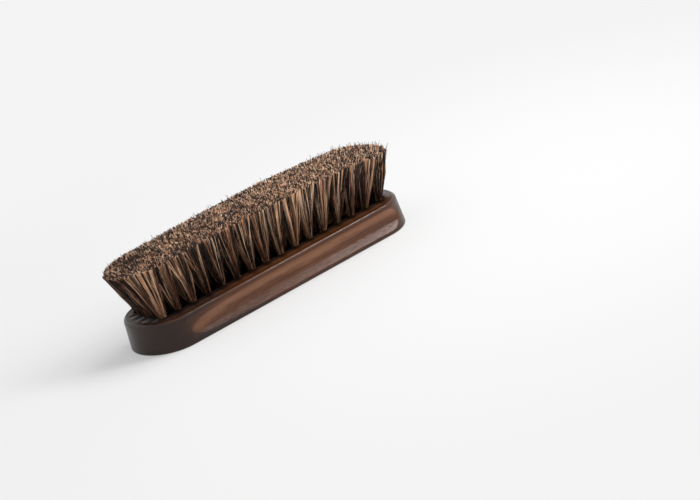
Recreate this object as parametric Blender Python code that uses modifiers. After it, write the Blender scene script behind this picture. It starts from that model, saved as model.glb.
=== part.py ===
"""A hand brush of horsehair: a wooden block with finger grooves and five rows of hair tufts.

The block lies on its flat back at z = 0 with the hair upwards. X runs along the block, Y across it,
and the origin is the middle of the back. Units are metres.
"""
import math
import random

import bmesh
import bpy
from mathutils import Matrix, Vector

# Block
BLOCK_LENGTH = 0.1736
BLOCK_WIDTH = 0.0514
BLOCK_THICKNESS = 0.0168
END_DEPTH = 0.0203
END_TAPER = 0.0012
SIDE_TAPER = 0.0004
FACE_RIM_RADIUS = 0.0014
BACK_RIM_RADIUS = 0.0008
RIM_STEPS = 3
END_STEPS = 26

# Finger grooves, each cut by a round cutter that runs off the rounded right end. Towards the left it is
# eased out and sinks a little, and it leaves the wood a land away from the left end.
GROOVE_HEIGHT = 0.0118
GROOVE_DEPTH = 0.0028
GROOVE_LEFT_LAND = 0.0213
GROOVE_EASE_LENGTH = 0.0555
GROOVE_SINK = 0.0015
GROOVE_CLEARANCE = 0.0004
GROOVE_SIDES = 32
GROOVE_EASE_STEPS = 9

# Rows of blind holes in the bristle face
ROW_PITCH = 0.00625
TUFTS_IN_ROW = (16, 15, 16, 15, 16)
FIELD_LENGTH = 0.148
FIELD_END_DEPTH = 0.004
TUFT_RADIUS = 0.0020
TUFT_SIDES = 6
HOLE_DEPTH = 0.0105
FIT_GAP = 0.0003

# Slice of the bristle face that each row is fused to, with the wood left round its outer holes
SLICE_THICKNESS = 0.0020
SLICE_MARGIN = 0.0018
SLICE_STEPS = 20

# Hair above the face: the trimmed top is crowned, and droops more at the right end
TIP_HEIGHT = 0.0463
TIP_LENGTH = 0.178
TIP_WIDTH = 0.0450
LEFT_DROP = 0.0014
RIGHT_DROP = 0.0050
LEFT_END_DEPTH = 0.026
RIGHT_END_DEPTH = 0.014
TIP_SPREAD = 1.12

# Strands of one tuft, in columns along the row and lines across it
STRAND_COLUMNS = 3
STRAND_LINES = 2
COLUMN_PITCH = 0.0013
LINE_PITCH = 0.0015
FAN_ALONG = 2.5
FAN_ACROSS = 2.05
STRAND_SIDES = 3
STRAND_ROOT_RADIUS = 0.00055
STRAND_TIP_RADIUS = 0.00070
STRAND_SINK = 0.0006
TIP_SCATTER = 0.0003

# Finishes
WOOD_COLOR = (0.060, 0.024, 0.011, 1.0)
WOOD_ROUGHNESS = 0.30
HAIR_COLOR = (0.150, 0.098, 0.062, 1.0)
HAIR_ROUGHNESS = 0.60


def half_length_at(y, half_length, half_width, end_depth):
    """Half length, at the place y across, of an outline with straight sides and elliptic ends."""
    share = min(abs(y) / half_width, 1.0)
    return half_length - end_depth + end_depth * math.sqrt(1.0 - share * share)


def outline(half_length, half_width, end_depth, steps):
    """Anticlockwise points of an outline with straight sides and elliptic ends."""
    right = []
    for step in range(steps + 1):
        angle = math.pi * (step / steps - 0.5)
        x = half_length - end_depth + end_depth * math.cos(angle)
        right.append((x, half_width * math.sin(angle)))
    return right + [(-x, -y) for x, y in right]


def add_prism(mesh, points, bottom, top):
    """Add a closed prism on an anticlockwise outline, and return its upper vertices."""
    floor = mesh.faces.new([mesh.verts.new((x, y, bottom)) for x, y in points])
    made = bmesh.ops.extrude_face_region(mesh, geom=[floor], use_keep_orig=True)["geom"]
    roof = [item for item in made if isinstance(item, bmesh.types.BMVert)]
    bmesh.ops.translate(mesh, verts=roof, vec=(0.0, 0.0, top - bottom))
    return roof


def add_taper(mesh, foot, head, foot_radius, head_radius, sides):
    """Add a closed tapered rod between two points."""
    along = head - foot
    turn = along.to_track_quat("Z", "X").to_matrix().to_4x4()
    bmesh.ops.create_cone(
        mesh, cap_ends=True, segments=sides, radius1=foot_radius, radius2=head_radius,
        depth=along.length, matrix=Matrix.Translation((foot + head) / 2.0) @ turn)


def make_object(name, mesh, collection):
    """Object from a bmesh, with its faces pointing out."""
    bmesh.ops.recalc_face_normals(mesh, faces=mesh.faces)
    data = bpy.data.meshes.new(name)
    mesh.to_mesh(data)
    mesh.free()
    item = bpy.data.objects.new(name, data)
    collection.objects.link(item)
    return item


def make_tool(name, mesh, collection):
    """Object that only cuts or joins others."""
    tool = make_object(name, mesh, collection)
    tool.hide_render = True
    tool.display_type = "WIRE"
    return tool


def paint(item, color, roughness):
    """Give an object its own material."""
    finish = bpy.data.materials.new(item.name)
    finish.use_nodes = True
    shader = finish.node_tree.nodes["Principled BSDF"]
    shader.inputs["Base Color"].default_value = color
    shader.inputs["Roughness"].default_value = roughness
    item.data.materials.append(finish)


def boolean(item, tool, operation):
    """Cut an object with a tool, or join the tool's shapes to it."""
    step = item.modifiers.new(tool.name, "BOOLEAN")
    step.operation = operation
    step.solver = "EXACT"
    step.object = tool


def row_height(row):
    """Place of a row's middle line across the block."""
    return (row - (len(TUFTS_IN_ROW) - 1) / 2.0) * ROW_PITCH


def field_half_width():
    """Half width of the field of slices: the outer rows, their tufts and the margin."""
    return row_height(len(TUFTS_IN_ROW) - 1) + TUFT_RADIUS + SLICE_MARGIN


def field_half_length():
    """Half length of the field of slices: the longest row, its tufts and the margin."""
    return FIELD_LENGTH / 2.0 + TUFT_RADIUS + SLICE_MARGIN


def tuft_places(row):
    """Centres of a row's holes, evenly spaced along the row."""
    y = row_height(row)
    reach = half_length_at(y, FIELD_LENGTH / 2.0, field_half_width(), FIELD_END_DEPTH)
    count = TUFTS_IN_ROW[row]
    return [(reach * (2.0 * index / (count - 1) - 1.0), y) for index in range(count)]


def tip_place(x, y):
    """Place on the trimmed top of the hair that fans out from (x, y) on the face.

    Between the ends the field is only stretched. Each end's square corners are rounded by mapping
    the unit square to the quarter disc.
    """
    tuft_reach = FAN_ALONG * COLUMN_PITCH * (STRAND_COLUMNS - 1) / 2.0
    root_length = FIELD_LENGTH / 2.0 + tuft_reach
    root_width = row_height(len(TUFTS_IN_ROW) - 1) + FAN_ACROSS * LINE_PITCH * (STRAND_LINES - 1) / 2.0
    depth = LEFT_END_DEPTH if x < 0.0 else RIGHT_END_DEPTH
    drop = LEFT_DROP if x < 0.0 else RIGHT_DROP
    tip_foot = TIP_LENGTH / 2.0 - depth
    root_foot = tip_foot / TIP_SPREAD
    across = y / root_width
    if abs(x) <= root_foot:
        tip_x = abs(x) * TIP_SPREAD
        tip_y = across * TIP_WIDTH / 2.0
    else:
        along = (abs(x) - root_foot) / (root_length - root_foot)
        tip_x = tip_foot + depth * along * math.sqrt(1.0 - across * across / 2.0)
        tip_y = across * math.sqrt(1.0 - along * along / 2.0) * TIP_WIDTH / 2.0
    tip_z = TIP_HEIGHT - drop * (2.0 * tip_x / TIP_LENGTH) ** 2
    return Vector((math.copysign(tip_x, x), tip_y, tip_z))


def make_block(parts, tools):
    """Wooden block: flat back, tapered ends, rounded rims, finger grooves and the drilled face."""
    mesh = bmesh.new()
    roof = add_prism(
        mesh, outline(BLOCK_LENGTH / 2.0, BLOCK_WIDTH / 2.0, END_DEPTH, END_STEPS), 0.0, BLOCK_THICKNESS)
    shrink = (1.0 - 2.0 * END_TAPER / BLOCK_LENGTH, 1.0 - 2.0 * SIDE_TAPER / BLOCK_WIDTH, 1.0)
    bmesh.ops.scale(mesh, verts=roof, vec=shrink)
    weigh_rims(mesh)
    block = make_object("handle_block", mesh, parts)
    block.data.shade_smooth()
    block.data.set_sharp_from_angle(angle=math.radians(40.0))
    paint(block, WOOD_COLOR, WOOD_ROUGHNESS)
    rims = block.modifiers.new("rims", "BEVEL")
    rims.width = FACE_RIM_RADIUS
    rims.segments = RIM_STEPS
    rims.limit_method = "WEIGHT"
    boolean(block, make_groove_tool(tools), "DIFFERENCE")
    boolean(block, make_seat_tool(tools), "DIFFERENCE")
    boolean(block, make_drill_tool(tools), "DIFFERENCE")


def weigh_rims(mesh):
    """Give the rims round the bristle face and the back their shares of the rounding's width."""
    weight = mesh.edges.layers.float.new("bevel_weight_edge")
    for edge in mesh.edges:
        heights = [vert.co.z for vert in edge.verts]
        if min(heights) > BLOCK_THICKNESS / 2.0:
            edge[weight] = 1.0
        elif max(heights) < BLOCK_THICKNESS / 2.0:
            edge[weight] = BACK_RIM_RADIUS / FACE_RIM_RADIUS


def make_groove_tool(tools):
    """Two long round bars. At the left each ring is moved out of the wood and down, by steps of an angle."""
    half_height = GROOVE_HEIGHT / 2.0
    radius = (half_height ** 2 + GROOVE_DEPTH ** 2) / (2.0 * GROOVE_DEPTH)
    left = GROOVE_LEFT_LAND - BLOCK_LENGTH / 2.0
    right = BLOCK_LENGTH / 2.0 + GROOVE_CLEARANCE
    full = left + GROOVE_EASE_LENGTH
    side = BLOCK_WIDTH / 2.0 - SIDE_TAPER / 2.0
    mesh = bmesh.new()
    for sign in (-1.0, 1.0):
        middle = Vector(((left + right) / 2.0, sign * (side + radius - GROOVE_DEPTH), BLOCK_THICKNESS / 2.0))
        lie_along_x = Matrix.Rotation(math.pi / 2.0, 4, "Y")
        bmesh.ops.create_cone(
            mesh, cap_ends=True, segments=GROOVE_SIDES, radius1=radius, radius2=radius, depth=right - left,
            matrix=Matrix.Translation(middle) @ lie_along_x)
    for step in range(GROOVE_EASE_STEPS):
        angle = math.pi / 2.0 * step / GROOVE_EASE_STEPS
        place = (full - GROOVE_EASE_LENGTH * math.sin(angle), 0.0, 0.0)
        everything = mesh.verts[:] + mesh.edges[:] + mesh.faces[:]
        bmesh.ops.bisect_plane(mesh, geom=everything, plane_co=place, plane_no=(1.0, 0.0, 0.0))
    for vert in mesh.verts:
        share = min(max((full - vert.co.x) / GROOVE_EASE_LENGTH, 0.0), 1.0)
        lift = (GROOVE_DEPTH + GROOVE_CLEARANCE) * (1.0 - math.sqrt(1.0 - share * share))
        vert.co.y += math.copysign(lift, vert.co.y)
        vert.co.z -= GROOVE_SINK * share * share
    return make_tool("groove_cutter", mesh, tools)


def make_seat_tool(tools):
    """Shallow recess that the slices lie in, a clearance wider and deeper than they are."""
    mesh = bmesh.new()
    points = outline(
        field_half_length() + FIT_GAP, field_half_width() + FIT_GAP, FIELD_END_DEPTH + FIT_GAP, SLICE_STEPS)
    add_prism(mesh, points, BLOCK_THICKNESS - SLICE_THICKNESS - FIT_GAP, 2.0 * BLOCK_THICKNESS)
    return make_tool("seat_cutter", mesh, tools)


def make_drill_tool(tools):
    """One drill for each blind hole, a clearance wider than the tuft's root."""
    radius = TUFT_RADIUS + FIT_GAP / math.cos(math.pi / TUFT_SIDES)
    mesh = bmesh.new()
    for row in range(len(TUFTS_IN_ROW)):
        for x, y in tuft_places(row):
            foot = Vector((x, y, BLOCK_THICKNESS - HOLE_DEPTH))
            head = Vector((x, y, BLOCK_THICKNESS))
            add_taper(mesh, foot, head, radius, radius, TUFT_SIDES)
    return make_tool("drills", mesh, tools)


def make_row(row, parts, tools):
    """One row of tufts: its slice of the face, with the tufts' roots below and their strands above."""
    low = row_height(row) - ROW_PITCH / 2.0 + FIT_GAP / 2.0
    high = row_height(row) + ROW_PITCH / 2.0 - FIT_GAP / 2.0
    if row == 0:
        low = -field_half_width()
    if row == len(TUFTS_IN_ROW) - 1:
        high = field_half_width()
    levels = [low + (high - low) * step / SLICE_STEPS for step in range(SLICE_STEPS + 1)]
    right = [(half_length_at(y, field_half_length(), field_half_width(), FIELD_END_DEPTH), y) for y in levels]
    left = [(-x, y) for x, y in reversed(right)]
    mesh = bmesh.new()
    add_prism(mesh, right + left, BLOCK_THICKNESS - SLICE_THICKNESS, BLOCK_THICKNESS)
    item = make_object("tuft_row_%d" % (row + 1), mesh, parts)
    paint(item, HAIR_COLOR, HAIR_ROUGHNESS)
    boolean(item, make_hair_tool(row, tools), "UNION")


def make_hair_tool(row, tools):
    """Roots and strands of one row. Each tuft fans out evenly, so that no strand crosses another."""
    scatter = random.Random(row)
    mesh = bmesh.new()
    root_bottom = BLOCK_THICKNESS - HOLE_DEPTH + FIT_GAP
    root_top = BLOCK_THICKNESS - SLICE_THICKNESS + STRAND_SINK
    for x, y in tuft_places(row):
        add_taper(mesh, Vector((x, y, root_bottom)), Vector((x, y, root_top)), TUFT_RADIUS, TUFT_RADIUS, TUFT_SIDES)
        for column in range(STRAND_COLUMNS):
            for line in range(STRAND_LINES):
                along = (column - (STRAND_COLUMNS - 1) / 2.0) * COLUMN_PITCH
                across = (line - (STRAND_LINES - 1) / 2.0) * LINE_PITCH
                foot = Vector((x + along, y + across, BLOCK_THICKNESS - STRAND_SINK))
                head = tip_place(x + FAN_ALONG * along, y + FAN_ACROSS * across)
                head += TIP_SCATTER * Vector([scatter.uniform(-1.0, 1.0) for axis in range(3)])
                add_taper(mesh, foot, head, STRAND_ROOT_RADIUS, STRAND_TIP_RADIUS, STRAND_SIDES)
    return make_tool("hair_%d" % (row + 1), mesh, tools)


for old in list(bpy.data.objects):
    bpy.data.objects.remove(old)
parts_collection = bpy.data.collections.new("horsehair_brush")
tools_collection = bpy.data.collections.new("cutters")
bpy.context.scene.collection.children.link(parts_collection)
bpy.context.scene.collection.children.link(tools_collection)
make_block(parts_collection, tools_collection)
for row_index in range(len(TUFTS_IN_ROW)):
    make_row(row_index, parts_collection, tools_collection)
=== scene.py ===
"""A horsehair hand brush: a lacquered wooden block and five rows of hair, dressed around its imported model.

Units are metres. The block lies on its flat back at z = 0 with the hair upwards. X runs along the block
and Y across it.
"""
import math

import bpy
import numpy as np
from mathutils import Matrix, Vector
from mathutils.geometry import delaunay_2d_cdt


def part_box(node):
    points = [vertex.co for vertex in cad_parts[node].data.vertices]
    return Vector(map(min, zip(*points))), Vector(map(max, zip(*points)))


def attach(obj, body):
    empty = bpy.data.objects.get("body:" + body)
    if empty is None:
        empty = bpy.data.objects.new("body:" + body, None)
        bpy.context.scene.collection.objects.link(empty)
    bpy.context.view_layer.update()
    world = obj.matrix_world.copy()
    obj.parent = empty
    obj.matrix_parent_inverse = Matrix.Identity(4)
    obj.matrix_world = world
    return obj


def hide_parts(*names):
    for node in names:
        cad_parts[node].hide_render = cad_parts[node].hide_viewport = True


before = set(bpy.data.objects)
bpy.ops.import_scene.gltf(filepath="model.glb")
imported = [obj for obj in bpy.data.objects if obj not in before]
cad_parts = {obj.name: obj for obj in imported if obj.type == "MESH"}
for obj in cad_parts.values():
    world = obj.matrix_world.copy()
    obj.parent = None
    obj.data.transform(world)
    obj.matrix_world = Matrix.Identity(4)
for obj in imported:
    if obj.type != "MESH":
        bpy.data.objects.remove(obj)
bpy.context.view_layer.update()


# The wooden block is one length of close-grained hardwood. It is shaped with a finger groove along
# each side, drilled with a blind hole for each tuft, sanded, stained dark walnut and lacquered.
END_DEPTH = 0.0203
END_TAPER = 0.0012
SIDE_TAPER = 0.0004
BACK_RIM_RADIUS = 0.0008
SIDE_RIM_RADIUS = 0.0005
END_RIM_RADIUS = 0.0016
FLAT_BORDER = 0.0006
END_STATIONS = 120
SIDE_STATIONS = 150
RIM_ROWS = 8
WALL_ROWS = 52
GROOVE_HEIGHT = 0.0118
GROOVE_DEPTH = 0.0028
GROOVE_LEFT_LAND = 0.0213
GROOVE_EASE_LENGTH = 0.0555
GROOVE_SINK = 0.0015
GROOVE_CLEARANCE = 0.0004
GROOVE_RUN_OUT = 0.6
GROOVE_LIP = 0.0006
GROOVE_START_SHARE = 0.4
GROOVE_START_EASE = 0.2
ROW_PITCH = 0.00625
TUFTS_IN_ROW = (16, 15, 16, 15, 16)
FIELD_LENGTH = 0.148
FIELD_HALF_WIDTH = 0.0163
FIELD_END_DEPTH = 0.004
HOLE_RADIUS = 0.00205
HOLE_DEPTH = 0.0105
HOLE_CHAMFER = 0.00015
HOLE_SIDES = 20
SHARP_ANGLE = math.radians(40.0)
FACE_TOLERANCE = 0.000005
LIP_LINE_WIDTH = 0.0005
RIM_LINE_PLACE = 0.0004
RIM_LINE_WIDTH = 0.0006
BLACK_STAIN = (0.018, 0.0070, 0.0045, 1.0)
DARK_STAIN = (0.044, 0.0135, 0.0042, 1.0)
WALNUT_STAIN = (0.088, 0.0275, 0.0085, 1.0)
BROWN_STAIN = (0.135, 0.0460, 0.0180, 1.0)
# The light stain of the grooves' upper half is partly painted light, for light thrown up from below.
LIGHT_STAIN_AND_BOUNCE = (0.290, 0.1350, 0.0720, 1.0)
AMBER_STAIN = (0.060, 0.0175, 0.0030, 1.0)
WORN_STAIN = (0.300, 0.1300, 0.0650, 1.0)

block_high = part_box("handle_block")[1]
thickness = block_high.z
half_length = block_high.x + END_TAPER * BACK_RIM_RADIUS / thickness
half_width = block_high.y + SIDE_TAPER * BACK_RIM_RADIUS / thickness


def mesh_piece(name, points, face_groups):
    """Smooth mesh object from an array of points and arrays of faces, one for each number of corners."""
    corners = np.concatenate([faces.ravel() for faces in face_groups])
    sizes = np.concatenate([np.full(len(faces), faces.shape[1]) for faces in face_groups])
    starts = np.concatenate([[0], np.cumsum(sizes)[:-1]])
    data = bpy.data.meshes.new(name)
    data.vertices.add(len(points))
    data.vertices.foreach_set("co", np.ascontiguousarray(points, dtype=np.float32).ravel())
    data.loops.add(len(corners))
    data.loops.foreach_set("vertex_index", corners.astype(np.int32))
    data.polygons.add(len(starts))
    data.polygons.foreach_set("loop_start", starts.astype(np.int32))
    data.update(calc_edges=True)
    data.validate()
    data.shade_smooth()
    piece = bpy.data.objects.new(name, data)
    bpy.context.scene.collection.objects.link(piece)
    return piece


def store(piece, name, values):
    """Keep one number for each vertex of a piece, for its material to read."""
    layer = piece.data.attributes.new(name, "FLOAT", "POINT")
    layer.data.foreach_set("value", np.ascontiguousarray(values, dtype=np.float32).ravel())


def block_outline():
    """Places round the back's outline, anticlockwise, and the outward direction at each.

    An end is half an ellipse, x = half length - end depth + end depth * cos a and y = half width *
    sin a, whose outward direction is (half width * cos a, end depth * sin a). The sides are straight,
    and the second half is the first turned half round.
    """
    angle = np.linspace(-math.pi / 2, math.pi / 2, END_STATIONS)
    corner = half_length - END_DEPTH
    end = np.stack([corner + END_DEPTH * np.cos(angle), half_width * np.sin(angle)], axis=1)
    end_out = np.stack([half_width * np.cos(angle), END_DEPTH * np.sin(angle)], axis=1)
    along = np.linspace(corner, -corner, SIDE_STATIONS + 2)[1:-1]
    side = np.stack([along, np.full(SIDE_STATIONS, half_width)], axis=1)
    side_out = np.tile([0.0, 1.0], (SIDE_STATIONS, 1))
    places = np.concatenate([end, side, -end, -side])
    outward = np.concatenate([end_out, side_out, -end_out, -side_out])
    return places, outward / np.linalg.norm(outward, axis=1, keepdims=True)


def block_profile(face_rim):
    """Inset from the outline and height of each row, for the face rim's radius at each station.

    The rows are the back's border, its rim, the wall, the face rim and the bristle face's border. A
    rim is half way between a quarter circle, (1 - sin a, 1 - cos a), and a straight chamfer.
    """
    turn = np.linspace(0.0, math.pi / 2, RIM_ROWS + 1)
    straight = turn / (math.pi / 2)
    rim_inset = 0.5 * (1.0 - np.sin(turn)) + 0.5 * (1.0 - straight)
    rim_height = 0.5 * (1.0 - np.cos(turn)) + 0.5 * straight
    share = np.linspace(0.0, 1.0, WALL_ROWS + 1)[1:-1]
    flat = np.zeros_like(face_rim)
    wall_height = BACK_RIM_RADIUS + share * (thickness - face_rim - BACK_RIM_RADIUS)
    inset = np.concatenate([
        flat + BACK_RIM_RADIUS + FLAT_BORDER, flat + BACK_RIM_RADIUS * rim_inset, flat + 0.0 * share,
        face_rim * rim_inset[::-1], face_rim + FLAT_BORDER], axis=1)
    height = np.concatenate([
        flat, flat + BACK_RIM_RADIUS * rim_height, wall_height,
        thickness - face_rim * rim_height[::-1], flat + thickness], axis=1)
    return inset, height


def groove_reach(x, y, z):
    """How far a place on the side lies inside the finger groove's cutter, negative outside it.

    The cutter is a round bar along the side. Its surface is at limit = side + radius - depth -
    sqrt(radius^2 - (z - middle)^2). With s from 0 to 1 along its eased left end, the depth falls by
    sqrt(1 - s^2), and the middle sinks with s^2. Past that end it runs out of the wood at a slope.
    """
    half_height = GROOVE_HEIGHT / 2.0
    radius = (half_height ** 2 + GROOVE_DEPTH ** 2) / (2.0 * GROOVE_DEPTH)
    left = GROOVE_LEFT_LAND - half_length
    share = np.clip((left + GROOVE_EASE_LENGTH - x) / GROOVE_EASE_LENGTH, 0.0, 1.0)
    depth = (GROOVE_DEPTH + GROOVE_CLEARANCE) * np.sqrt(1.0 - share ** 2) - GROOVE_CLEARANCE
    depth = depth - GROOVE_RUN_OUT * np.maximum(left - x, 0.0)
    away = z - thickness / 2.0 + GROOVE_SINK * share ** 2
    side = half_width - SIDE_TAPER / 2.0
    limit = side + radius - depth - np.sqrt(np.maximum(radius ** 2 - away ** 2, 0.0))
    return np.abs(y) - limit


def block_surface():
    """Wall and rims on a grid of stations by rows, with the three numbers that its material reads.

    Each row is the outline, narrowed in step with its height and drawn in by the row's inset. The
    groove then takes (reach + sqrt(reach^2 + lip^2)) / 2 off the side, which rounds its edge, and
    nothing near the middle of an end. The numbers are the groove's depth as a share, and bell curves
    exp(-(distance / width)^2) across the groove's lip and the rims.
    """
    places, outward = block_outline()
    facing_end = np.abs(outward[:, :1])
    inset, height = block_profile(SIDE_RIM_RADIUS + (END_RIM_RADIUS - SIDE_RIM_RADIUS) * facing_end)
    share = height / thickness
    x = places[:, :1] * (1.0 - END_TAPER / half_length * share) - outward[:, :1] * inset
    y = places[:, 1:] * (1.0 - SIDE_TAPER / half_width * share) - outward[:, 1:] * inset
    reach = groove_reach(x, y, height)
    depth = (reach + np.sqrt(reach ** 2 + GROOVE_LIP ** 2)) / 2.0
    from_start = np.abs(y) / half_width - GROOVE_START_SHARE
    depth = depth * np.clip(from_start / GROOVE_START_EASE, 0.0, 1.0)
    y = y - np.sign(y) * depth
    to_rim = np.minimum(height, thickness - height)
    lip_line = np.exp(-(reach / LIP_LINE_WIDTH) ** 2)
    rim_line = np.exp(-((to_rim - RIM_LINE_PLACE) / RIM_LINE_WIDTH) ** 2)
    groove = np.clip(depth / GROOVE_DEPTH, 0.0, 1.0)
    return np.stack([x, y, height], axis=2), groove, lip_line, rim_line


def grid_faces(rows, columns, first=0):
    """Four-cornered faces of a grid whose rows close into rings, numbered row by row within a station."""
    station, row = np.meshgrid(np.arange(columns), np.arange(rows - 1), indexing="ij")
    here = first + station * rows + row
    onward = first + (station + 1) % columns * rows + row
    return np.stack([here, onward, onward + 1, here + 1], axis=2).reshape(-1, 4)


def hole_places(row):
    """Middles of a row's holes, evenly spaced between the ends of the field."""
    y = (row - (len(TUFTS_IN_ROW) - 1) / 2.0) * ROW_PITCH
    reach = FIELD_LENGTH / 2.0 - FIELD_END_DEPTH
    reach += FIELD_END_DEPTH * math.sqrt(1.0 - (y / FIELD_HALF_WIDTH) ** 2)
    x = np.linspace(-reach, reach, TUFTS_IN_ROW[row])
    return np.stack([x, np.full(len(x), y)], axis=1)


def hole_surfaces():
    """Rings of all the holes: the chamfer's edge in the face, the wall's top and the flat bottom."""
    places = np.concatenate([hole_places(row) for row in range(len(TUFTS_IN_ROW))])
    angle = np.arange(HOLE_SIDES) * 2.0 * math.pi / HOLE_SIDES
    radius = np.array([HOLE_RADIUS + HOLE_CHAMFER, HOLE_RADIUS, HOLE_RADIUS])
    height = thickness - np.array([0.0, HOLE_CHAMFER, HOLE_DEPTH])
    x = places[:, 0, None, None] + radius[:, None] * np.cos(angle)
    y = places[:, 1, None, None] + radius[:, None] * np.sin(angle)
    z = np.broadcast_to(height[:, None], x.shape)
    return np.stack([x, y, z], axis=3)


def face_between(outer, holes):
    """Triangles of the flat face inside the outer ring and outside every hole's ring."""
    rings = [outer] + list(holes)
    flat = [Vector(place[:2]) for ring in rings for place in ring]
    edges = []
    first = 0
    for ring in rings:
        count = len(ring)
        edges += [(first + step, first + (step + 1) % count) for step in range(count)]
        first += count
    made = delaunay_2d_cdt(flat, edges, [], 2, 1e-9)
    back = [numbers[0] for numbers in made[3]]
    faces = np.array([[back[corner] for corner in face] for face in made[2]])
    corners = np.array([list(place) for place in flat])[faces]
    one = corners[:, 1] - corners[:, 0]
    two = corners[:, 2] - corners[:, 0]
    turned = one[:, 0] * two[:, 1] - one[:, 1] * two[:, 0] < 0.0
    faces[turned] = faces[turned][:, ::-1]
    return faces


def make_block():
    """The block's mesh: wall and rims, the flat back, the drilled face and its holes.

    The drilled face takes the second material.
    """
    surface, groove, lip_line, rim_line = block_surface()
    columns, rows = surface.shape[:2]
    holes = hole_surfaces()
    points = np.concatenate([surface.reshape(-1, 3), holes.reshape(-1, 3)])
    wall = grid_faces(rows, columns)
    back = (np.arange(columns) * rows)[::-1][None, :]
    first_hole = columns * rows
    numbers = first_hole + np.arange(holes[..., 0].size).reshape(holes.shape[:3])
    face_numbers = np.concatenate([np.arange(columns) * rows + rows - 1, numbers[:, 0].ravel()])
    drilled = face_numbers[face_between(surface[:, -1], holes[:, 0])]
    turned = np.roll(numbers, -1, axis=2)
    hole_walls = np.stack([numbers[:, :-1], turned[:, :-1], turned[:, 1:], numbers[:, 1:]], axis=3)
    hole_walls = hole_walls[..., ::-1].reshape(-1, 4)
    bottoms = numbers[:, -1]
    block = mesh_piece("wooden_block", points, [wall, back, drilled, hole_walls, bottoms])
    block.data.set_sharp_from_angle(angle=SHARP_ANGLE)
    centers = np.empty((len(block.data.polygons), 3), dtype=np.float32)
    block.data.polygons.foreach_get("center", centers.ravel())
    drilled_face = centers[:, 2] > thickness - FACE_TOLERANCE
    block.data.polygons.foreach_set("material_index", drilled_face.astype(np.int32))
    spare = np.zeros(len(points) - first_hole)
    store(block, "groove", np.concatenate([groove.ravel(), spare]))
    store(block, "lip_line", np.concatenate([lip_line.ravel(), spare]))
    store(block, "rim_line", np.concatenate([rim_line.ravel(), spare]))
    return block


class Finish:
    """A new material, with short calls for the nodes that the finishes here are made of."""

    def __init__(self, name):
        self.material = bpy.data.materials.new(name)
        self.material.use_nodes = True
        self.tree = self.material.node_tree
        self.shader = self.tree.nodes["Principled BSDF"]
        self.place = self.node("ShaderNodeTexCoord").outputs["Object"]

    def node(self, kind, **settings):
        """New node with its settings."""
        made = self.tree.nodes.new(kind)
        for name, value in settings.items():
            setattr(made, name, value)
        return made

    def feed(self, socket, value):
        """Link a socket to an output, or set it to a number or colour."""
        if isinstance(value, bpy.types.NodeSocket):
            self.tree.links.new(value, socket)
        else:
            socket.default_value = value

    def noise(self, stretch, detail=3.0, roughness=0.5):
        """Noise whose cells are 1/stretch metres long along each axis."""
        mapping = self.node("ShaderNodeMapping")
        mapping.inputs["Scale"].default_value = stretch
        self.feed(mapping.inputs["Vector"], self.place)
        texture = self.node("ShaderNodeTexNoise")
        self.feed(texture.inputs["Vector"], mapping.outputs["Vector"])
        texture.inputs["Scale"].default_value = 1.0
        texture.inputs["Detail"].default_value = detail
        texture.inputs["Roughness"].default_value = roughness
        return texture.outputs["Fac"]

    def stored(self, name):
        """Number kept on the mesh."""
        return self.node("ShaderNodeAttribute", attribute_name=name).outputs["Fac"]

    def math(self, operation, one, two=0.5):
        """Sum, product or other operation on two numbers."""
        made = self.node("ShaderNodeMath", operation=operation)
        self.feed(made.inputs[0], one)
        self.feed(made.inputs[1], two)
        return made.outputs[0]

    def spread(self, value, low, high, to_low=0.0, to_high=1.0):
        """Smooth step of a number from one range to another."""
        made = self.node("ShaderNodeMapRange", interpolation_type="SMOOTHSTEP")
        self.feed(made.inputs["Value"], value)
        made.inputs["From Min"].default_value = low
        made.inputs["From Max"].default_value = high
        made.inputs["To Min"].default_value = to_low
        made.inputs["To Max"].default_value = to_high
        return made.outputs["Result"]

    def mix(self, share, one, two, blend="MIX"):
        """Mix of two colours."""
        made = self.node("ShaderNodeMix", data_type="RGBA", blend_type=blend)
        self.feed(made.inputs["Factor"], share)
        self.feed(made.inputs["A"], one)
        self.feed(made.inputs["B"], two)
        return made.outputs["Result"]

    def ramp(self, value, stops):
        """Colour ramp through (position, colour) stops."""
        made = self.node("ShaderNodeValToRGB")
        self.feed(made.inputs["Fac"], value)
        elements = made.color_ramp.elements
        while len(elements) < len(stops):
            elements.new(1.0)
        for element, (position, color) in zip(elements, stops):
            element.position = position
            element.color = color
        return made.outputs["Color"]

    def bump(self, height, strength, distance):
        """Normal of a surface with small relief."""
        made = self.node("ShaderNodeBump")
        made.inputs["Strength"].default_value = strength
        made.inputs["Distance"].default_value = distance
        self.feed(made.inputs["Height"], height)
        return made.outputs["Normal"]


# Where the stains, the painted light in the grooves and the lacquer lie. A pair is where a change starts and
# where it is complete, along the block from its middle or upwards from its back, and a share is how much of
# the new colour shows.
GROOVE_MASK = (0.01, 0.27)
PALE_HEIGHTS = (0.0104, 0.0152)
PALE_SHARE = 0.82
PALE_WANDER = 0.003
TONGUE_PLACES = (-0.066, -0.036)
TONGUE_REACH = 0.0045
TONGUE_LOSS = 0.56
LAND_HEIGHTS = (0.0138, 0.0152)
LAND_SHARE = 0.50
FOOT_HEIGHTS = (0.0018, 0.0032)
FOOT_SHARE = 0.60
BACK_HEIGHTS = (0.00001, 0.0003)
FACE_DEPTHS = (0.0002, 0.0001)
FACE_SHARE = 0.90
PORE_SHARE = 0.40
WORN_SHARE = 0.18
RUBBED_SHARE = 0.12
MIDDLE_BAND = (0.0075, 0.0140)
BAND_SLOPE = 7.0
RIGHT_DELAY = 0.015
BACK_SLOPE = 3.0
BACK_DELAY = 0.185
PATCH_SHIFT = 0.022
GROOVE_SHIFT = 0.010
TONGUE_SHIFT = 0.022
DARK_ENDS = (0.055, 0.086)
DARK_ENDS_SHARE = 0.93
EDGE_DEPTHS = (0.0008, 0.0005)
EDGE_ENDS = (0.045, 0.064)
LEFT_COAT_PLACES = (-0.081, -0.071)
RIGHT_COAT_PLACES = (0.075, 0.081)
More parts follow.
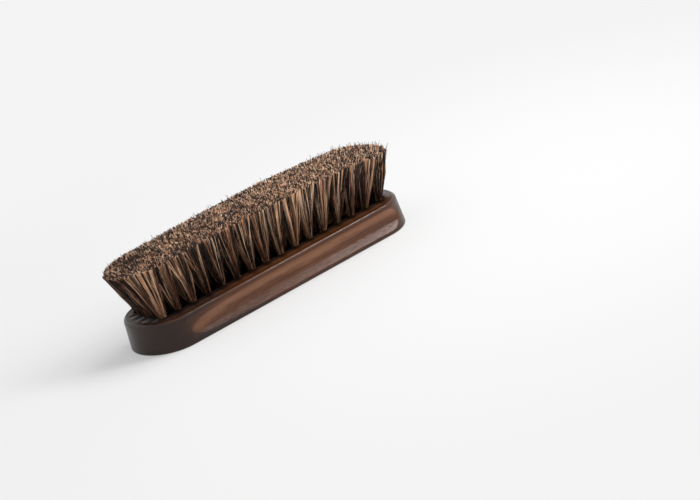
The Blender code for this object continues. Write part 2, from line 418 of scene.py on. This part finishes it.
RELIEF_DISTANCE = 0.00012


def end_measure(wood, along, height, patch, in_groove, tongue, off_back):
    """Measure in metres that grows towards the block's ends, by which the stain turns black.

    It is the larger of early - x and x - delay, where early is a slope times the height below or
    above the middle band of the wall. On the flat back it is at most slope * |x| - delay. Patches of
    the wood raise it, and the groove and its left end lower it.
    """
    below = wood.math("SUBTRACT", MIDDLE_BAND[0], height)
    above = wood.math("SUBTRACT", height, MIDDLE_BAND[1])
    outside = wood.math("MAXIMUM", wood.math("MAXIMUM", below, above), 0.0)
    left = wood.math("SUBTRACT", wood.math("MULTIPLY", outside, BAND_SLOPE), along)
    measure = wood.math("MAXIMUM", left, wood.math("SUBTRACT", along, RIGHT_DELAY))
    on_back = wood.math("MULTIPLY", wood.math("ABSOLUTE", along), BACK_SLOPE)
    on_back = wood.math("SUBTRACT", on_back, BACK_DELAY)
    measure = wood.math("MINIMUM", measure, wood.math("ADD", on_back, off_back))
    measure = wood.math("ADD", measure, wood.math("MULTIPLY", patch, PATCH_SHIFT))
    held = wood.math("ADD", GROOVE_SHIFT, wood.math("MULTIPLY", tongue, TONGUE_SHIFT))
    return wood.math("SUBTRACT", measure, wood.math("MULTIPLY", in_groove, held))


def lacquered_wood(name, specular_level, coat_roughness, middle_coat, edge_coat, left_coat, right_coat):
    """Dark walnut stain on straight grain, nearly black at the ends, under clear semi-gloss lacquer.

    The grooves are lighter on their upper half, partly a lighter stain and partly painted light thrown up
    from below; this reaches lower and is weaker at their left end. The drilled face has a thin amber stain.
    The lacquer's weight is given for the middle, for the face's edge, where it has built up, and for the
    left and right ends.
    """
    wood = Finish(name)
    separate = wood.node("ShaderNodeSeparateXYZ")
    wood.feed(separate.inputs["Vector"], wood.place)
    along = separate.outputs["X"]
    height = separate.outputs["Z"]
    fibre = wood.noise((60.0, 1300.0, 1300.0), detail=4.0, roughness=0.6)
    figure = wood.noise((12.0, 260.0, 260.0), detail=3.0)
    patch = wood.noise((30.0, 90.0, 90.0), detail=2.0)
    pores = wood.spread(wood.noise((230.0, 3200.0, 3200.0), detail=1.0), 0.60, 0.70)
    in_groove = wood.spread(wood.stored("groove"), *GROOVE_MASK)
    tongue = wood.spread(along, *TONGUE_PLACES, 1.0, 0.0)
    off_back = wood.spread(height, *BACK_HEIGHTS)
    ends = end_measure(wood, along, height, patch, in_groove, tongue, off_back)

    grain = wood.math("ADD", wood.math("MULTIPLY", fibre, 0.5), wood.math("MULTIPLY", figure, 0.5))
    color = wood.ramp(grain, [(0.34, DARK_STAIN), (0.50, WALNUT_STAIN), (0.66, BROWN_STAIN)])
    wander = wood.math("MULTIPLY", wood.math("ADD", fibre, patch), PALE_WANDER)
    wander = wood.math("ADD", wander, wood.math("MULTIPLY", tongue, TONGUE_REACH))
    upper = wood.spread(wood.math("ADD", height, wander), *PALE_HEIGHTS)
    pale = wood.math("SUBTRACT", PALE_SHARE, wood.math("MULTIPLY", tongue, TONGUE_LOSS))
    pale = wood.math("MULTIPLY", wood.math("MULTIPLY", in_groove, pale), upper)
    # Partly painted light: the groove's upper half is lightened, for a lighter stain and for light thrown up
    # from below.
    color = wood.mix(pale, color, LIGHT_STAIN_AND_BOUNCE)
    color = wood.mix(wood.spread(height, *LAND_HEIGHTS, 0.0, LAND_SHARE), color, DARK_STAIN)
    # The wall is darker towards its bottom; the flat back is left out.
    foot = wood.math("MULTIPLY", wood.spread(height, *FOOT_HEIGHTS, FOOT_SHARE, 0.0), off_back)
    color = wood.mix(foot, color, BLACK_STAIN)
    face_low, face_high = (thickness - depth for depth in FACE_DEPTHS)
    color = wood.mix(wood.spread(height, face_low, face_high, 0.0, FACE_SHARE), color, AMBER_STAIN)
    color = wood.mix(wood.spread(ends, *DARK_ENDS, 0.0, DARK_ENDS_SHARE), color, BLACK_STAIN)
    color = wood.mix(wood.math("MULTIPLY", pores, PORE_SHARE), color, BLACK_STAIN)
    worn = wood.math("MULTIPLY", wood.spread(patch, 0.40, 0.70), wood.stored("lip_line"))
    color = wood.mix(wood.math("MULTIPLY", worn, WORN_SHARE), color, WORN_STAIN)
    rubbed = wood.math("MULTIPLY", wood.spread(patch, 0.35, 0.65), wood.stored("rim_line"))
    color = wood.mix(wood.math("MULTIPLY", rubbed, RUBBED_SHARE), color, WORN_STAIN)
    wood.feed(wood.shader.inputs["Base Color"], color)

    wood.feed(wood.shader.inputs["Roughness"], wood.spread(fibre, 0.3, 0.7, 0.36, 0.52))
    wood.shader.inputs["Specular IOR Level"].default_value = specular_level
    ripple = wood.noise((320.0, 700.0, 700.0), detail=3.0)
    relief = wood.math("SUBTRACT", fibre, wood.math("MULTIPLY", pores, 0.8))
    relief = wood.math("ADD", relief, wood.math("MULTIPLY", ripple, 2.0))
    wood.feed(wood.shader.inputs["Normal"], wood.bump(relief, 0.30, RELIEF_DISTANCE))

    edge_low, edge_high = (thickness - depth for depth in EDGE_DEPTHS)
    edge = wood.spread(height, edge_low, edge_high, 0.0, edge_coat - middle_coat)
    edge = wood.math("MULTIPLY", edge, wood.spread(ends, *EDGE_ENDS, 1.0, 0.0))
    left = wood.spread(along, *LEFT_COAT_PLACES, left_coat - middle_coat, 0.0)
    right = wood.spread(along, *RIGHT_COAT_PLACES, middle_coat, right_coat)
    wood.feed(wood.shader.inputs["Coat Weight"], wood.math("ADD", wood.math("ADD", left, right), edge))
    wood.shader.inputs["Coat Roughness"].default_value = coat_roughness
    brush_lines = wood.noise((190.0, 2300.0, 2300.0), detail=2.0)
    coat_relief = wood.math("ADD", relief, brush_lines)
    wood.feed(wood.shader.inputs["Coat Normal"], wood.bump(coat_relief, 0.42, RELIEF_DISTANCE))
    return wood.material


wooden_block = make_block()
wall_finish = lacquered_wood(
    "lacquered_walnut", specular_level=0.08, coat_roughness=0.13,
    middle_coat=0.48, edge_coat=0.95, left_coat=0.48, right_coat=0.42)
face_finish = lacquered_wood(
    "drilled_walnut", specular_level=0.015, coat_roughness=0.42,
    middle_coat=0.12, edge_coat=0.12, left_coat=0.55, right_coat=0.95)
wooden_block.data.materials.append(wall_finish)
wooden_block.data.materials.append(face_finish)
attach(wooden_block, "root")
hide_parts("handle_block")


# Each wire anchor is a short flat strip of bright steel wire, laid over the fold of its tuft and driven
# with it to the bottom of the hole, where its ends bite into the wood and hold the hair.
ANCHOR_LENGTH = 0.0049
ANCHOR_WIDTH = 0.0011
ANCHOR_GAUGE = 0.00036
ANCHOR_SAG = 0.0003
ANCHOR_LIFT = 0.0012
ANCHOR_STATIONS = 7
STEEL_COLOR = (0.56, 0.55, 0.53, 1.0)


def anchor_surfaces(places):
    """Strips along X, each a four-cornered section carried along an arc that dips in its middle.

    The arc's height is lift - sag * (1 - (2x / length)^2) above the bottom of the hole.
    """
    along = np.linspace(-1.0, 1.0, ANCHOR_STATIONS)
    middle = thickness - HOLE_DEPTH + ANCHOR_LIFT - ANCHOR_SAG * (1.0 - along ** 2)
    side = np.array([-1.0, 1.0, 1.0, -1.0]) * ANCHOR_WIDTH / 2.0
    rise = np.array([-1.0, -1.0, 1.0, 1.0]) * ANCHOR_GAUGE / 2.0
    shape = (len(places), ANCHOR_STATIONS, 4)
    x = np.broadcast_to(places[:, 0, None, None] + along[:, None] * ANCHOR_LENGTH / 2.0, shape)
    y = np.broadcast_to(places[:, 1, None, None] + side, shape)
    z = np.broadcast_to(middle[:, None] + rise, shape)
    return np.stack([x, y, z], axis=3)


def make_anchors(row):
    """The anchors of one row of tufts, as one piece."""
    strips = anchor_surfaces(hole_places(row))
    numbers = np.arange(strips[..., 0].size).reshape(strips.shape[:3])
    turned = np.roll(numbers, -1, axis=2)
    sides = np.stack([numbers[:, :-1], turned[:, :-1], turned[:, 1:], numbers[:, 1:]], axis=3)
    ends = np.concatenate([numbers[:, 0, ::-1], numbers[:, -1]])
    name = "wire_anchors_%d" % (row + 1)
    anchors = mesh_piece(name, strips.reshape(-1, 3), [sides.reshape(-1, 4), ends])
    anchors.data.set_sharp_from_angle(angle=SHARP_ANGLE)
    return anchors


def drawn_steel():
    """Bright drawn wire, with fine lines along it."""
    steel = Finish("drawn_steel")
    steel.shader.inputs["Base Color"].default_value = STEEL_COLOR
    steel.shader.inputs["Metallic"].default_value = 1.0
    lines = steel.noise((400.0, 14000.0, 14000.0), detail=1.0)
    steel.feed(steel.shader.inputs["Roughness"], steel.spread(lines, 0.3, 0.7, 0.28, 0.42))
    return steel.material


steel_finish = drawn_steel()
for row_index in range(len(TUFTS_IN_ROW)):
    wire_anchors = make_anchors(row_index)
    wire_anchors.data.materials.append(steel_finish)
    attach(wire_anchors, "root")


# The hair is natural horsehair of mixed browns. A bundle for each hole is folded in half under its
# anchor, so both halves of every hair stand up. The tufts flare into one flat top, trimmed with shears.
HAIRS_IN_TUFT = 280
PLASTIC_STEPS = (0.7548777, 0.5698403)
PLACE_SCATTER = 0.04
PLACE_LIMIT = 0.999
HAIR_SIDES = 3
HAIR_LEVELS = np.array([0.0, 0.5, 1.0])
HAIR_RADII = np.array([0.000065, 0.000075, 0.000110, 0.000130])
RADIUS_SPREAD = (0.8, 1.2)
BUNDLE_RADIUS = 0.00192
FOLD_LIFT = 0.0003
SPLAY = 1.10
TIP_HEIGHT = 0.0463
TIP_LENGTH = 0.178
TIP_WIDTH = 0.0450
LEFT_DROP = 0.0014
RIGHT_DROP = 0.0050
LEFT_END_DEPTH = 0.026
RIGHT_END_DEPTH = 0.014
TIP_SPREAD = 1.12
TUFT_ROUNDNESS = 0.25
TUFT_OVERLAP = 1.18
OVERHANG = 1.05
LOCKS_ALONG = 11
LOCKS_ACROSS = 7
LOCK_PULL = 0.46
LOCK_SCATTER = 0.30
LOCK_TRIM = 0.00015
MIDDLE_TONE = 0.42
LOCK_TONE = 0.58
TUFT_TONE = 0.06
HAIR_TONE = 0.32
# The next two numbers are painted shade along each hair, darkest at the roots.
ROOT_PAINTED_SHADE = -0.20
TIP_PAINTED_SHADE = -0.01
MOTTLE_TONE = 0.06
# Painted shade on the hair towards both ends of the brush.
END_PAINTED_SHADE = 0.38
RIGHT_CONTRAST = 1.2
LOCK_BOW = 0.00050
HAIR_TRIM = 0.00015
HAIR_BOW = 0.00036
HAIR_MIXING = 0.34
STRAY_SHARE = 0.014
RIGHT_STRAYS = 4.0
RIGHT_STRAYS_START = 0.045
RIGHT_STRAYS_EASE = 0.020
STRAY_LENGTH = 0.0020
STRAY_LEAN = 0.0017
BLACK_HAIR = (0.010, 0.0055, 0.0040, 1.0)
DARK_HAIR = (0.050, 0.0240, 0.0140, 1.0)
BROWN_HAIR = (0.190, 0.0930, 0.0520, 1.0)
TAN_HAIR = (0.500, 0.2850, 0.1680, 1.0)
PALE_HAIR = (0.950, 0.7000, 0.4900, 1.0)
RED_TINT = (1.00, 0.62, 0.42, 1.0)
RED_SHARE = 0.8


def trimmed_top(x, y, fan_length, fan_width):
    """Places on the trimmed top for places (x, y) in the field of tufts.

    Between its ends the field is only stretched. At each end, with u along and v across from 0 to 1,
    its square corners are rounded by u * sqrt(1 - v^2 / 2) and v * sqrt(1 - u^2 / 2). The top droops
    with the square of the distance from the middle.
    """
    depth = np.where(x < 0.0, LEFT_END_DEPTH, RIGHT_END_DEPTH)
    drop = np.where(x < 0.0, LEFT_DROP, RIGHT_DROP)
    straight = TIP_LENGTH / 2.0 - depth
    foot = straight / TIP_SPREAD
    across = np.clip(y / fan_width, -OVERHANG, OVERHANG)
    along = np.clip((np.abs(x) - foot) / (fan_length - foot), 0.0, OVERHANG)
    stretched = np.minimum(np.abs(x), foot) * TIP_SPREAD
    reach = stretched + depth * along * np.sqrt(1.0 - across ** 2 / 2.0)
    side = across * np.sqrt(1.0 - along ** 2 / 2.0) * TIP_WIDTH / 2.0
    height = TIP_HEIGHT - drop * (2.0 * reach / TIP_LENGTH) ** 2
    return np.stack([np.sign(x) * reach, side, height], axis=-1)


def hair_tones(random, holes, tuft, lock, locks):
    """Tone and warmth of each hair: what its lock and its tuft share, and what is its own.

    The tone falls towards both ends of the brush as painted shade, and its spread grows to the right.
    """
    along = holes[:, 0, None, None] / FIELD_LENGTH
    contrast = 1.0 + RIGHT_CONTRAST * np.maximum(along, 0.0)
    shared = random.normal(0.0, LOCK_TONE, locks)[tuft, lock][..., :1]
    shared = shared + random.normal(0.0, TUFT_TONE, (len(holes), 1, 1))
    own = contrast * random.normal(0.0, HAIR_TONE, lock.shape[:2] + (1,))
    # Painted shade: the tone is lowered towards both ends of the brush.
    tone = MIDDLE_TONE + shared + own - END_PAINTED_SHADE * np.abs(along)
    warmth = random.random(locks)[tuft, lock][..., 0] ** 2
    return np.clip(tone[..., 0], 0.0, 1.0), warmth


def hair_strands(row):
    """Middle lines of a row's folded hairs, with each hair's tone and warmth.

    A hair has a place (a, b) in the square from -1 to 1, spread evenly by steps of the plastic number.
    Its arms rise at -b and b. The square is mapped to the disc of the hole for the roots, and to the
    tuft's share of the top for the tips, drawn towards the middle of the hair's lock. Between them an
    arm leans out with its height to the power of the splay, and bows by sin(pi * height).
    """
    random = np.random.default_rng(100 + row)
    holes = hole_places(row)
    tufts = len(holes)
    shape = (tufts, HAIRS_IN_TUFT, 2)
    step = np.arange(HAIRS_IN_TUFT) + random.integers(0, 10000, (tufts, 1))
    a = 2.0 * (step * PLASTIC_STEPS[0] % 1.0) - 1.0
    b = step * PLASTIC_STEPS[1] % 1.0
    a = np.stack([a, a], axis=2) + random.normal(0.0, PLACE_SCATTER, shape)
    b = np.stack([-b, b], axis=2) + random.normal(0.0, PLACE_SCATTER, shape)
    a = np.clip(a, -PLACE_LIMIT, PLACE_LIMIT)
    b = np.clip(b, -PLACE_LIMIT, PLACE_LIMIT)

    lock_a = ((a + 1.0) / 2.0 * LOCKS_ALONG).astype(int)
    lock_b = ((b + 1.0) / 2.0 * LOCKS_ACROSS).astype(int)
    lock = lock_a * LOCKS_ACROSS + lock_b
    tuft = np.arange(tufts)[:, None, None]
    locks = (tufts, LOCKS_ALONG * LOCKS_ACROSS)
    middle_a = lock_a + 0.5 + random.normal(0.0, LOCK_SCATTER, locks)[tuft, lock]
    middle_b = lock_b + 0.5 + random.normal(0.0, LOCK_SCATTER, locks)[tuft, lock]
    middle_a = 2.0 * middle_a / LOCKS_ALONG - 1.0
    middle_b = 2.0 * middle_b / LOCKS_ACROSS - 1.0
    tip_a = np.clip(a + LOCK_PULL * (middle_a - a), -1.0, 1.0)
    tip_b = np.clip(b + LOCK_PULL * (middle_b - b), -1.0, 1.0)

    root_a = np.clip(a + random.normal(0.0, HAIR_MIXING, shape), -1.0, 1.0)
    root_b = np.clip(b + random.normal(0.0, HAIR_MIXING, shape), -1.0, 1.0)
    root_x = holes[:, 0, None, None] + BUNDLE_RADIUS * root_a * np.sqrt(1.0 - root_b ** 2 / 2.0)
    root_y = holes[:, 1, None, None] + BUNDLE_RADIUS * root_b * np.sqrt(1.0 - root_a ** 2 / 2.0)
    half_pitch = (holes[1, 0] - holes[0, 0]) / 2.0
    fan_x = half_pitch * TUFT_OVERLAP * tip_a * np.sqrt(1.0 - TUFT_ROUNDNESS * tip_b ** 2 / 2.0)
    fan_y = ROW_PITCH / 2.0 * TUFT_OVERLAP * tip_b * np.sqrt(1.0 - TUFT_ROUNDNESS * tip_a ** 2 / 2.0)
    fan_x = fan_x + holes[:, 0, None, None]
    fan_y = fan_y + holes[:, 1, None, None]
    fan_width = ROW_PITCH * len(TUFTS_IN_ROW) / 2.0
    tip = trimmed_top(fan_x, fan_y, FIELD_LENGTH / 2.0 + half_pitch, fan_width)

    tip[..., 2] += random.normal(0.0, LOCK_TRIM, locks)[tuft, lock] + random.normal(0.0, HAIR_TRIM, shape)
    near_right = (holes[:, 0, None, None] - RIGHT_STRAYS_START) / RIGHT_STRAYS_EASE
    near_right = np.clip(near_right, 0.0, 1.0)
    stray = random.random(shape) < STRAY_SHARE * (1.0 + RIGHT_STRAYS * near_right)
    tip[..., 2] += stray * random.uniform(0.0, STRAY_LENGTH, shape)
    tip[..., :2] += (stray * random.normal(0.0, STRAY_LEAN, (2,) + shape)).transpose(1, 2, 3, 0)

    face = np.stack([root_x, root_y, np.full(shape, thickness)], axis=-1)
    lean = HAIR_LEVELS ** SPLAY
    share = np.stack([lean, lean, HAIR_LEVELS], axis=1)
    arms = face[..., None, :] + share * (tip - face)[..., None, :]
    bow = random.normal(0.0, LOCK_BOW, locks + (2,))[tuft, lock]
    bow = bow + random.normal(0.0, HAIR_BOW, shape + (2,))
    arms[..., :2] += np.sin(math.pi * HAIR_LEVELS)[:, None] * bow[..., None, :]
    fold = face.copy()
    fold[..., 1] = holes[:, 1, None, None] + 0.5 * (root_y - holes[:, 1, None, None])
    fold[..., 2] = thickness - HOLE_DEPTH + FOLD_LIFT
    arms = np.concatenate([fold[..., None, :], arms], axis=-2)

    tone, warmth = hair_tones(random, holes, tuft, lock, locks)
    return arms, tone, warmth


def make_hair(row):
    """One row of tufts. A hair is a thin three-sided tube along its two arms, closed at both ends.

    A corner lies at middle + radius * (cos t * e1 + sin t * e2), where e1 is the row's direction, and e2
    points across the row, down under the fold and across again, so that the tube never turns inside out.
    """
    arms, tone, warmth = hair_strands(row)
    random = np.random.default_rng(200 + row)
    middle = np.concatenate([arms[:, :, 0, ::-1], arms[:, :, 1]], axis=2)
    middle = middle.reshape(-1, middle.shape[2], 3)
    hairs, rings = middle.shape[:2]
    levels = rings // 2
    across = np.concatenate([np.full(levels, -1.0), np.full(levels, 1.0)])
    down = np.zeros(rings)
    across[levels - 1:levels + 1] *= math.sqrt(0.5)
    down[levels - 1:levels + 1] = -math.sqrt(0.5)
    radius = np.concatenate([HAIR_RADII[::-1], HAIR_RADII])
    radius = radius * random.uniform(*RADIUS_SPREAD, (hairs, 1))
    corners = np.arange(HAIR_SIDES) * 2.0 * math.pi / HAIR_SIDES
    turn = random.uniform(0.0, 2.0 * math.pi, (hairs, 1)) + corners
    cosine = radius[:, :, None] * np.cos(turn)[:, None, :]
    sine = radius[:, :, None] * np.sin(turn)[:, None, :]
    offset = np.stack([cosine, sine * across[:, None], sine * down[:, None]], axis=3)
    points = middle[:, :, None, :] + offset

    numbers = np.arange(points[..., 0].size).reshape(points.shape[:3])
    turned = np.roll(numbers, -1, axis=2)
    sides = np.stack([numbers[:, :-1], turned[:, :-1], turned[:, 1:], numbers[:, 1:]], axis=3)
    ends = np.concatenate([numbers[:, 0, ::-1], numbers[:, -1]])
    name = "hair_row_%d" % (row + 1)
    hair = mesh_piece(name, points.reshape(-1, 3), [sides.reshape(-1, 4), ends])
    height = np.concatenate([HAIR_LEVELS[::-1], [0.0, 0.0], HAIR_LEVELS])
    store(hair, "tone", np.repeat(tone.ravel(), rings * HAIR_SIDES))
    store(hair, "warmth", np.repeat(warmth.ravel(), rings * HAIR_SIDES))
    store(hair, "height", np.tile(np.repeat(height, HAIR_SIDES), hairs))
    return hair


def horsehair():
    """Mixed natural browns, one tone for each hair, with a dull sheen, and painted shade that darkens them
    towards the roots.
    """
    hair = Finish("mixed_horsehair")
    tone = hair.stored("tone")
    height = hair.stored("height")
    mottle = hair.noise((160.0, 160.0, 60.0), detail=2.0)
    tone = hair.math("ADD", tone, hair.spread(mottle, 0.3, 0.7, -MOTTLE_TONE, MOTTLE_TONE))
    # Painted shade: each hair is darkened towards its root, where the tufts shade it.
    tone = hair.math("ADD", tone, hair.spread(height, 0.0, 1.0, ROOT_PAINTED_SHADE, TIP_PAINTED_SHADE))
    stops = [(0.0, BLACK_HAIR), (0.34, DARK_HAIR), (0.55, BROWN_HAIR), (0.78, TAN_HAIR), (1.0, PALE_HAIR)]
    color = hair.ramp(tone, stops)
    redness = hair.math("MULTIPLY", hair.stored("warmth"), RED_SHARE)
    color = hair.mix(redness, color, RED_TINT, blend="MULTIPLY")
    hair.feed(hair.shader.inputs["Base Color"], color)
    hair.shader.inputs["Roughness"].default_value = 0.45
    hair.shader.inputs["Specular IOR Level"].default_value = 0.25
    return hair.material


hair_finish = horsehair()
for row_index in range(len(TUFTS_IN_ROW)):
    hair_row = make_hair(row_index)
    hair_row.data.materials.append(hair_finish)
    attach(hair_row, "root")
    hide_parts("tuft_row_%d" % (row_index + 1))


# The studio is a plain pale floor under a white sky, with one broad soft lamp overhead, a little to the
# right, and a tall one in front of it to the right.
FLOOR_SIZE = 9.0
FLOOR_COLOR = (0.86, 0.86, 0.86, 1.0)
SKY_COLOR = (1.0, 1.0, 1.0, 1.0)
SKY_LIGHT = 0.52
SKY_SHOWN = 0.90
FADE_DISTANCES = (0.08, 0.42)
NEAR_FADE = 0.35
LAMP_DISTANCE = 1.3
OVERHEAD_DIRECTION = Vector((0.50, -0.05, 0.86))
OVERHEAD_SIZE = (0.6, 0.6)
OVERHEAD_POWER = 5.8
FRONT_DIRECTION = Vector((0.62, -0.545, 0.565))
FRONT_SIZE = (0.36, 0.86)
FRONT_POWER = 9.8


def seen_rays(nodes, links):
    """Share of 1 for rays that the camera, a reflection or a refraction sends out, and of 0 for others."""
    rays = nodes.new("ShaderNodeLightPath")
    seen = rays.outputs["Is Camera Ray"]
    for name in ("Is Glossy Ray", "Is Transmission Ray"):
        either = nodes.new("ShaderNodeMath")
        either.operation = "MAXIMUM"
        links.new(seen, either.inputs[0])
        links.new(rays.outputs[name], either.inputs[1])
        seen = either.outputs[0]
    return seen


def make_floor():
    """Plain floor that the block's back lies on. Away from the block it fades into the sky's white.

    The fade is a smooth step of the distance from the middle, and a part of it is there from the start.
    """
    half = FLOOR_SIZE / 2.0
    corners = np.array([[-half, -half, 0.0], [half, -half, 0.0], [half, half, 0.0], [-half, half, 0.0]])
    floor = mesh_piece("studio_floor", corners, [np.array([[0, 1, 2, 3]])])
    paper = Finish("pale_paper")
    paper.shader.inputs["Base Color"].default_value = FLOOR_COLOR
    paper.shader.inputs["Roughness"].default_value = 0.9
    paper.shader.inputs["Specular IOR Level"].default_value = 0.1
    nodes = paper.tree.nodes
    away = paper.node("ShaderNodeVectorMath", operation="LENGTH")
    paper.feed(away.inputs[0], paper.place)
    faded = paper.spread(away.outputs["Value"], *FADE_DISTANCES, NEAR_FADE, 1.0)
    far = paper.node("ShaderNodeEmission")
    far.inputs["Color"].default_value = SKY_COLOR
    far.inputs["Strength"].default_value = SKY_SHOWN
    choice = paper.node("ShaderNodeMixShader")
    paper.feed(choice.inputs[0], paper.math("MULTIPLY", faded, seen_rays(nodes, paper.tree.links)))
    paper.feed(choice.inputs[1], paper.shader.outputs[0])
    paper.feed(choice.inputs[2], far.outputs[0])
    paper.feed(nodes["Material Output"].inputs["Surface"], choice.outputs[0])
    floor.data.materials.append(paper.material)
    return floor


def make_lamp(name, direction, size, power):
    """Soft lamp that faces the brush from a direction, with its width running along the brush."""
    lamp = bpy.data.lights.new(name, "AREA")
    lamp.shape = "RECTANGLE"
    lamp.size, lamp.size_y = size
    lamp.energy = power
    item = bpy.data.objects.new(name, lamp)
    back = direction.normalized()
    up = back.cross(Vector((1.0, 0.0, 0.0))).normalized()
    axes = Matrix((up.cross(back), up, back)).transposed()
    item.matrix_world = Matrix.Translation(back * LAMP_DISTANCE) @ axes.to_4x4()
    bpy.context.scene.collection.objects.link(item)


def make_sky():
    """White sky that lights softly, and shows at nearly full white to the camera and in reflections."""
    world = bpy.data.worlds.new("white_sky")
    world.use_nodes = True
    nodes = world.node_tree.nodes
    links = world.node_tree.links
    lighting = nodes["Background"]
    lighting.inputs["Color"].default_value = SKY_COLOR
    lighting.inputs["Strength"].default_value = SKY_LIGHT
    shown = nodes.new("ShaderNodeBackground")
    shown.inputs["Color"].default_value = SKY_COLOR
    shown.inputs["Strength"].default_value = SKY_SHOWN
    choice = nodes.new("ShaderNodeMixShader")
    links.new(seen_rays(nodes, links), choice.inputs[0])
    links.new(lighting.outputs[0], choice.inputs[1])
    links.new(shown.outputs[0], choice.inputs[2])
    links.new(choice.outputs[0], nodes["World Output"].inputs["Surface"])
    bpy.context.scene.world = world


studio_floor = make_floor()
make_sky()
make_lamp("overhead_softbox", OVERHEAD_DIRECTION, OVERHEAD_SIZE, OVERHEAD_POWER)
make_lamp("front_softbox", FRONT_DIRECTION, FRONT_SIZE, FRONT_POWER)


# The camera stands where the photograph was taken from. Its roll keeps the photograph's framing, in
# which the brush rises to the right.
CAMERA_PLACE = Vector((-0.6514, -1.2360, 0.4551))
CAMERA_BACK = Vector((-0.471, -0.827, 0.308))
CAMERA_UP = Vector((0.427, 0.092, 0.900))
CAMERA_SENSOR = 36.0
CAMERA_LENS = 141.3


def make_camera():
    """Camera whose axes are its right, its up and the direction back to it."""
    lens = bpy.data.cameras.new("studio_camera")
    lens.sensor_width = CAMERA_SENSOR
    lens.lens = CAMERA_LENS
    camera = bpy.data.objects.new("studio_camera", lens)
    back = CAMERA_BACK.normalized()
    right = CAMERA_UP.cross(back).normalized()
    axes = Matrix((right, back.cross(right), back)).transposed()
    camera.matrix_world = Matrix.Translation(CAMERA_PLACE) @ axes.to_4x4()
    bpy.context.scene.collection.objects.link(camera)
    bpy.context.scene.camera = camera


make_camera()
bpy.context.scene.view_settings.view_transform = "Standard"
